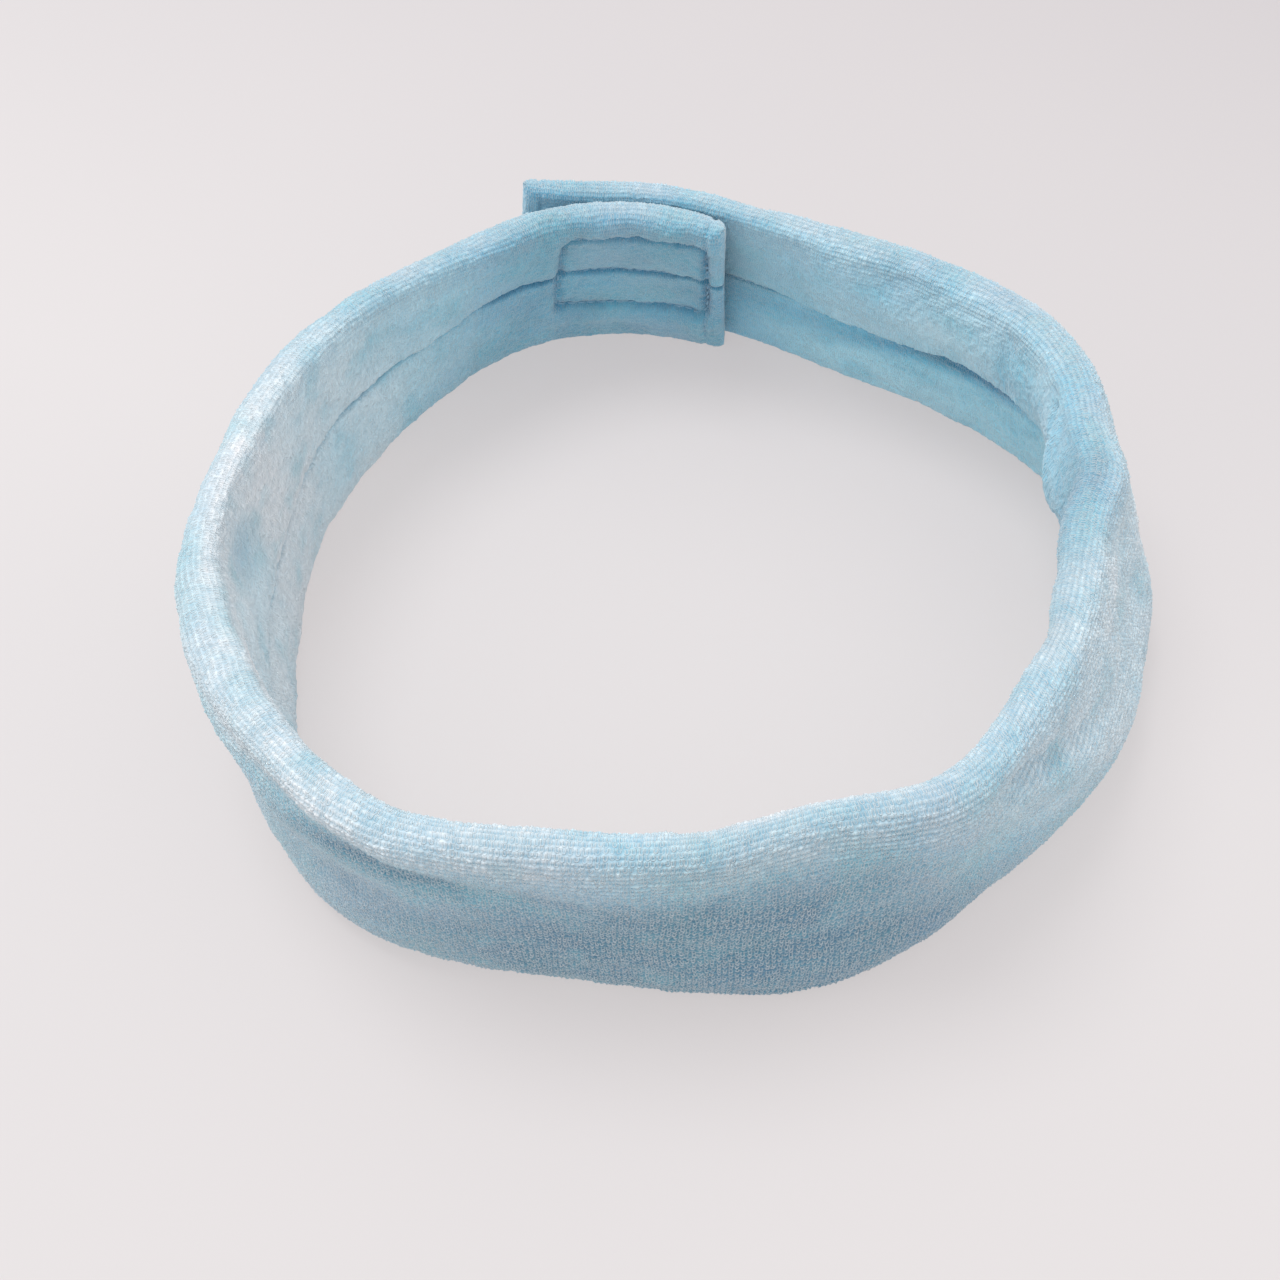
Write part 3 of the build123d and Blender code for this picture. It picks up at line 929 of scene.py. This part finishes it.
def on_grid(place, v, points, normals):
    """Points of a grid and its normals at places along the tube and v round it."""
    x = np.clip(np.asarray(place) / LENGTH * (rows - 1), 0, rows - 1.001)
    y = np.asarray(v) % 1 * COLUMNS
    i, j = x.astype(int), y.astype(int)
    fx, fy, j, j2 = (x - i)[:, None], (y - j)[:, None], j % COLUMNS, (j + 1) % COLUMNS

    def mixed(grid):
        near = grid[i, j] * (1 - fy) + grid[i, j2] * fy
        return near * (1 - fx) + (grid[i + 1, j] * (1 - fy) + grid[i + 1, j2] * fy) * fx

    return mixed(points), unit(mixed(normals))


SIDEWAYS = (0.31, 0.17, 0.93)    # no path runs this way for long


def tubes(paths, radii, sides):
    """Points and faces of tubes along paths of equal point counts (path, point, 3)."""
    count, size = paths.shape[:2]
    ahead = unit(np.gradient(paths, axis=1))
    side = unit(np.cross(ahead, np.broadcast_to(SIDEWAYS, ahead.shape)))
    other = np.cross(ahead, side)
    turn = 2 * pi * np.arange(sides) / sides
    ring = side[..., None, :] * np.cos(turn)[:, None] + other[..., None, :] * np.sin(turn)[:, None]
    points = (paths[..., None, :] + ring * np.asarray(radii)[None, :, None, None]).reshape(-1, 3)
    tube, i, j = np.meshgrid(np.arange(count), np.arange(size - 1), np.arange(sides), indexing="ij")
    j2, start = (j + 1) % sides, tube * size * sides
    faces = [start + a * sides + b for a, b in ((i, j), (i, j2), (i + 1, j2), (i + 1, j))]
    return points, np.stack(faces, -1).reshape(-1, 4)


# Along a stitch: its ends dive into the cloth
STITCH_PROFILE = np.array([-0.5, -0.42, -0.2, 0.0, 0.2, 0.42, 0.5])
STITCH_SAG = np.array([0.6, 0.2, 0.02, 0.0, 0.02, 0.2, 0.6])
STITCH_GIRTH = np.array([0.5, 0.85, 1.0, 1.0, 1.0, 0.85, 0.5])
# Length and radius of a stitch, and how far it is raised above the skin
SEAM_STITCH, BOX_STITCH, END_STITCH = (1.7, 0.2, 0.12), (1.8, 0.24, 0.16), (1.7, 0.22, 0.14)
SEAM_PITCH, BOX_PITCH, END_PITCH = 2.1, 2.3, 2.2
SEAM_INSET = 4.5                 # the seam's thread keeps this far from the free ends
filled_normal = grid_normals(filled)


def add_stitches(name, place, v, length, radius, raise_by):
    """One stitch at each place along the skin, along the line that the places make."""
    spot, upward = on_grid(place, v, skin, filled_normal)
    ahead = unit(np.gradient(spot, axis=0))
    paths = spot[:, None] + ahead[:, None] * (STITCH_PROFILE * length)[None, :, None]
    paths = paths + upward[:, None] * (raise_by - STITCH_SAG)[None, :, None]
    points, faces = tubes(paths, STITCH_GIRTH * radius, 6)
    return add_mesh(name, points, faces, thread)


begin = 0.0
for name, place, bodies, bend in SKINS:
    spots = np.arange(begin + SEAM_PITCH, min(place, LENGTH - SEAM_INSET), SEAM_PITCH)
    spots = spots[spots > SEAM_INSET]
    heights, halves = np.interp(spots, along, seam_at), np.interp(spots, along, half_thick)
    seam_v = place_round(heights, halves, -1)
    seam = add_stitches(f"seam_thread_{name}", spots, seam_v, *SEAM_STITCH)
    attach(seam, bodies, bend)
    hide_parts(f"seam_{name}")
    begin = place


def box_path(half_x, half_y, corner, pitch):
    """Points round a rounded rectangle, about a pitch apart."""
    turn = np.linspace(0, pi / 2, 12)
    corners = [(1, 1, 0), (-1, 1, pi / 2), (-1, -1, pi), (1, -1, 3 * pi / 2)]
    outline = np.concatenate([
        np.c_[
            sx * (half_x - corner) + corner * np.cos(turn + start),
            sy * (half_y - corner) + corner * np.sin(turn + start),
        ]
        for sx, sy, start in corners
    ])
    outline = np.r_[outline, outline[:1]]
    length = np.r_[0, np.cumsum(np.linalg.norm(np.diff(outline, axis=0), axis=1))]
    at = np.linspace(0, length[-1], int(length[-1] / pitch) + 1)[:-1]
    return np.c_[np.interp(at, length, outline[:, 0]), np.interp(at, length, outline[:, 1])]


for word, tape, body, end in (
    ("inner", INNER_TAPE, "inner_tab", END_INSET),
    ("outer", OUTER_TAPE, "outer_tab", LENGTH - END_INSET),
):
    first, last, tape_face = tape
    half_x, half_y = (last - first) / 2 + STITCH_BORDER, TAPE_HALF_HEIGHT + STITCH_BORDER
    line = box_path(half_x, half_y, BOX_CORNER, BOX_PITCH)
    v = place_round(TAPE_PLACE + line[:, 1] / FLAT_TAB, TAB_HALF, -tape_face)
    box = add_stitches(f"box_stitches_{word}", (first + last) / 2 + line[:, 0], v, *BOX_STITCH)
    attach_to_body(box, body)
    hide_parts(f"stitch_box_{word}")
    heights = np.arange(0.08, 0.94, END_PITCH / FLAT_TAB)
    v = place_round(heights, TAB_HALF, -tape_face)
    line = add_stitches(f"end_stitches_{word}", end + 0 * heights, v, *END_STITCH)
    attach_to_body(line, body)
    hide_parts(f"end_stitch_{word}")


# ---------------------------------------------------------------- the two tapes

TAPE_STEP = 0.4
TAPE_SINK = 0.35
TAPE_BASE = 0.42                 # height of the woven ground that carries the loops or hooks
TAPE_TOP = 0.9
TAPE_WEAVE = 0.8                 # pitch of the ground's weave
TAPE_EDGE = 0.8                  # its edges are rounded off over this width
LOW_MARGIN, HIGH_MARGIN = 1.4, 1.2     # bare ground beside the loops or hooks
base_normal = grid_normals(base)


def tape_points(tape, x, y, height):
    """Points over the tab's face, x along and y up from the tape's middle."""
    first, last, face = tape
    v = place_round(TAPE_PLACE + y.ravel() / FLAT_TAB, TAB_HALF, face)
    point, upward = on_grid((first + last) / 2 + x.ravel(), v, base, base_normal)
    return (point + upward * np.ravel(height)[:, None]).reshape(*x.shape, 3)


def tape_ground(tape, seed):
    """A woven strip with rounded edges: points and faces of its top and its underside."""
    first, last, face = tape
    half_x, half_y = (last - first) / 2, TAPE_HALF_HEIGHT
    nx, ny = int(2 * half_x / TAPE_STEP), int(2 * half_y / TAPE_STEP)
    spread_x, spread_y = np.linspace(-half_x, half_x, nx), np.linspace(-half_y, half_y, ny)
    x, y = np.meshgrid(spread_x, spread_y, indexing="ij")
    edge = np.minimum(half_x - np.abs(x), half_y - np.abs(y))
    draw = np.random.default_rng(seed)
    grain = 0.05 * np.cos(2 * pi * x / TAPE_WEAVE) * np.cos(2 * pi * y / TAPE_WEAVE)
    grain = grain + 0.03 * draw.uniform(-1, 1, x.shape)
    rounded = np.sqrt(1 - (1 - np.clip(edge / TAPE_EDGE, 0, 1)) ** 2)
    upper = tape_points(tape, x, y, -TAPE_SINK + (TAPE_BASE + TAPE_SINK + grain) * rounded)
    lower = tape_points(tape, x, y, np.full_like(x, -TAPE_SINK - 0.02))
    i, j = np.meshgrid(np.arange(nx - 1), np.arange(ny - 1), indexing="ij")
    corners = [i * ny + j, (i + 1) * ny + j, (i + 1) * ny + j + 1, i * ny + j + 1]
    faces = np.stack(corners, -1).reshape(-1, 4)
    flip = faces[:, ::-1]
    if face > 0:
        faces, flip = flip, faces
    return np.r_[upper.reshape(-1, 3), lower.reshape(-1, 3)], np.r_[faces, flip + nx * ny]


def add_tape(name, tape, material, pitch, jitter, shape_xy, shape_z, radius, sides, seed):
    """A tape's ground with many small loops or hooks standing on it."""
    draw = np.random.default_rng(seed)
    half_x, half_y = (tape[1] - tape[0]) / 2, TAPE_HALF_HEIGHT
    xs = np.arange(-half_x + LOW_MARGIN, half_x - HIGH_MARGIN, pitch)
    ys = np.arange(-half_y + LOW_MARGIN, half_y - HIGH_MARGIN, pitch)
    x, y = (a.ravel() for a in np.meshgrid(xs, ys, indexing="ij"))
    x = x + draw.uniform(-jitter, jitter, x.shape)
    y = y + draw.uniform(-jitter, jitter, y.shape)
    turn = draw.uniform(-jitter, jitter, x.shape) * 6
    reach = np.array(shape_xy)[None, :]
    tall = (TAPE_TOP - TAPE_BASE) * draw.uniform(0.85, 1.0, x.shape)[:, None]
    path_x = x[:, None] + reach * np.cos(turn)[:, None]
    path_y = y[:, None] + reach * np.sin(turn)[:, None]
    heights = TAPE_BASE - 0.06 + np.array(shape_z)[None, :] * tall
    ground, ground_faces = tape_ground(tape, seed)
    paths = tape_points(tape, path_x, path_y, heights)
    points, faces = tubes(paths, np.full(len(shape_z), radius), sides)
    points, faces = np.r_[ground, points], np.r_[ground_faces, faces + len(ground)]
    return add_mesh(name, points, faces, material)


# One loop's or hook's outline: along its own direction, and up as a share of its height
LOOP_XY = [-0.22, -0.3, -0.18, 0.0, 0.18, 0.3, 0.22]
LOOP_Z = [0.0, 0.5, 0.88, 0.98, 0.88, 0.5, 0.0]
HOOK_XY = [0.0, 0.0, 0.03, 0.14, 0.28, 0.38, 0.4]
HOOK_Z = [0.0, 0.4, 0.75, 0.95, 0.95, 0.75, 0.5]
LOOPS = {"pitch": 0.85, "jitter": 0.28, "radius": 0.07, "sides": 4, "seed": 51}
HOOKS = {"pitch": 1.25, "jitter": 0.03, "radius": 0.1, "sides": 5, "seed": 52}
loops_piece = add_tape(
    "loop_tape_pile", INNER_TAPE, loop_pile, shape_xy=LOOP_XY, shape_z=LOOP_Z, **LOOPS
)
hooks_piece = add_tape(
    "hook_tape_hooks", OUTER_TAPE, hook_nylon, shape_xy=HOOK_XY, shape_z=HOOK_Z, **HOOKS
)
for piece, body, node in (
    (loops_piece, "inner_tab", "loop_tape"),
    (hooks_piece, "outer_tab", "hook_tape"),
):
    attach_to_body(piece, body)
    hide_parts(node)
